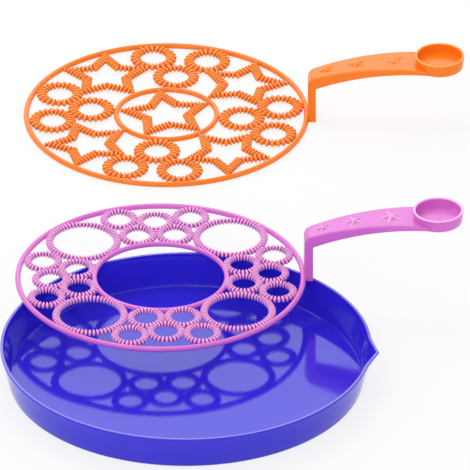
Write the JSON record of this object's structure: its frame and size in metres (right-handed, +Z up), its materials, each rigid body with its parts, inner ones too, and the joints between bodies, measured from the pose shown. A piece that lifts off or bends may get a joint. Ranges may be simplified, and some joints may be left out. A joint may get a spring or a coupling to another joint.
{
  "type": "bubble wand set",
  "caption": "Bubble wands with round heads of ribbed rings and stars and arched thumb-cup handles, with the round dipping tray they share.",
  "frame": {"origin": "middle of the tray's underside, on the ground", "axes": "+Z up, +X to the right towards the handles, +Y away from the viewer towards the orange wand"},
  "size_m": [0.399, 0.729, 0.0936],
  "materials": {
    "blue_plastic": "glossy moulded plastic",
    "orange_plastic": "smooth moulded plastic",
    "violet_plastic": "smooth moulded plastic"
  },
  "bodies": {
    "tray": {"tray": "blue_plastic"},
    "violet_wand": {"violet_rim": "violet_plastic", "violet_hub_ring": "violet_plastic", "violet_large_ring_1": "violet_plastic", "violet_large_ring_2": "violet_plastic", "violet_large_ring_3": "violet_plastic", "violet_large_ring_4": "violet_plastic", "violet_ring_1": "violet_plastic", "violet_ring_2": "violet_plastic", "violet_ring_3": "violet_plastic", "violet_ring_4": "violet_plastic", "violet_ring_5": "violet_plastic", "violet_ring_6": "violet_plastic", "violet_ring_7": "violet_plastic", "violet_ring_8": "violet_plastic", "violet_ring_9": "violet_plastic", "violet_ring_10": "violet_plastic", "violet_ring_11": "violet_plastic", "violet_ring_12": "violet_plastic", "violet_ring_13": "violet_plastic", "violet_ring_14": "violet_plastic", "violet_ring_15": "violet_plastic", "violet_ring_16": "violet_plastic", "violet_ring_17": "violet_plastic", "violet_ring_18": "violet_plastic", "violet_ring_19": "violet_plastic", "violet_ring_20": "violet_plastic", "violet_handle": "violet_plastic", "violet_thumb_cup": "violet_plastic"},
    "orange_wand": {"orange_rim": "orange_plastic", "orange_hub_ring": "orange_plastic", "orange_middle_star": "orange_plastic", "orange_star_1": "orange_plastic", "orange_star_2": "orange_plastic", "orange_star_3": "orange_plastic", "orange_star_4": "orange_plastic", "orange_ring_1": "orange_plastic", "orange_ring_2": "orange_plastic", "orange_ring_3": "orange_plastic", "orange_ring_4": "orange_plastic", "orange_ring_5": "orange_plastic", "orange_ring_6": "orange_plastic", "orange_ring_7": "orange_plastic", "orange_ring_8": "orange_plastic", "orange_ring_9": "orange_plastic", "orange_ring_10": "orange_plastic", "orange_ring_11": "orange_plastic", "orange_ring_12": "orange_plastic", "orange_handle": "orange_plastic", "orange_thumb_cup": "orange_plastic"}
  },
  "joints": [
    {"name": "violet_lift", "type": "slide", "parent": "tray", "child": "violet_wand", "axis": [0, 0, 1], "range_m": [0, 0.12]},
    {"name": "orange_lift", "type": "slide", "parent": "tray", "child": "orange_wand", "axis": [0, 0, 1], "range_m": [0, 0.12]}
  ]
}
